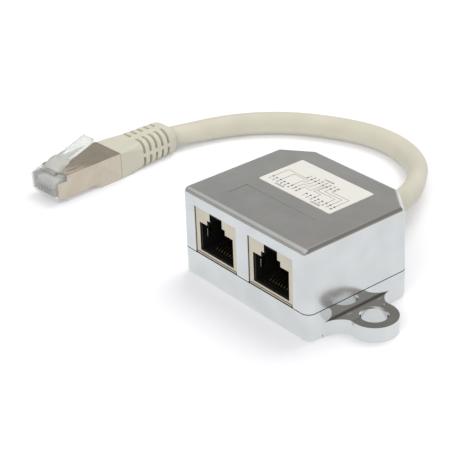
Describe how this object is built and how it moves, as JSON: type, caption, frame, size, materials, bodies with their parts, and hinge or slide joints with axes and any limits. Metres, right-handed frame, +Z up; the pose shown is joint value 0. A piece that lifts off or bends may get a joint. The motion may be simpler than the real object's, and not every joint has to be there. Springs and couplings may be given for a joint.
{
  "type": "shielded rj45 splitter adapter",
  "caption": "Die-cast metal housing with side-by-side jacks, screw lugs and a short cable that ends in a shielded plug.",
  "frame": {"origin": "under the middle of the housing, on the surface that it stands on", "axes": "+X to the right along the jack side, +Y back towards the cable, +Z up"},
  "size_m": [0.126, 0.0953, 0.0249],
  "materials": {
    "plated_zinc": "polished",
    "label_paper": "matte",
    "screw_steel": "satin",
    "board_laminate": "satin",
    "jack_shield": "satin",
    "black_plastic": "matte",
    "contact_gold": "polished",
    "ferrule_brass": "satin",
    "cable_sheath": "matte",
    "clear_plastic": "clear",
    "plug_shield": "satin",
    "boot_plastic": "matte",
    "wire_orange": "matte",
    "wire_green": "matte",
    "wire_blue": "matte",
    "wire_brown": "matte"
  },
  "bodies": {
    "root": {"upper_shell": "plated_zinc", "lower_shell": "plated_zinc", "label": "label_paper", "case_screws": "screw_steel", "circuit_board": "board_laminate", "jack_left_shield": "jack_shield", "jack_right_shield": "jack_shield", "jack_left_housing": "black_plastic", "jack_right_housing": "black_plastic", "jack_left_contacts": "contact_gold", "jack_right_contacts": "contact_gold", "braid_ferrule": "ferrule_brass", "cable": "cable_sheath", "plug_body": "clear_plastic", "plug_contacts": "contact_gold", "plug_shield": "plug_shield", "plug_boot": "boot_plastic", "pair_orange": "wire_orange", "plug_pair_orange": "wire_orange", "pair_green": "wire_green", "plug_pair_green": "wire_green", "pair_blue": "wire_blue", "plug_pair_blue": "wire_blue", "pair_brown": "wire_brown", "plug_pair_brown": "wire_brown"}
  },
  "joints": []
}
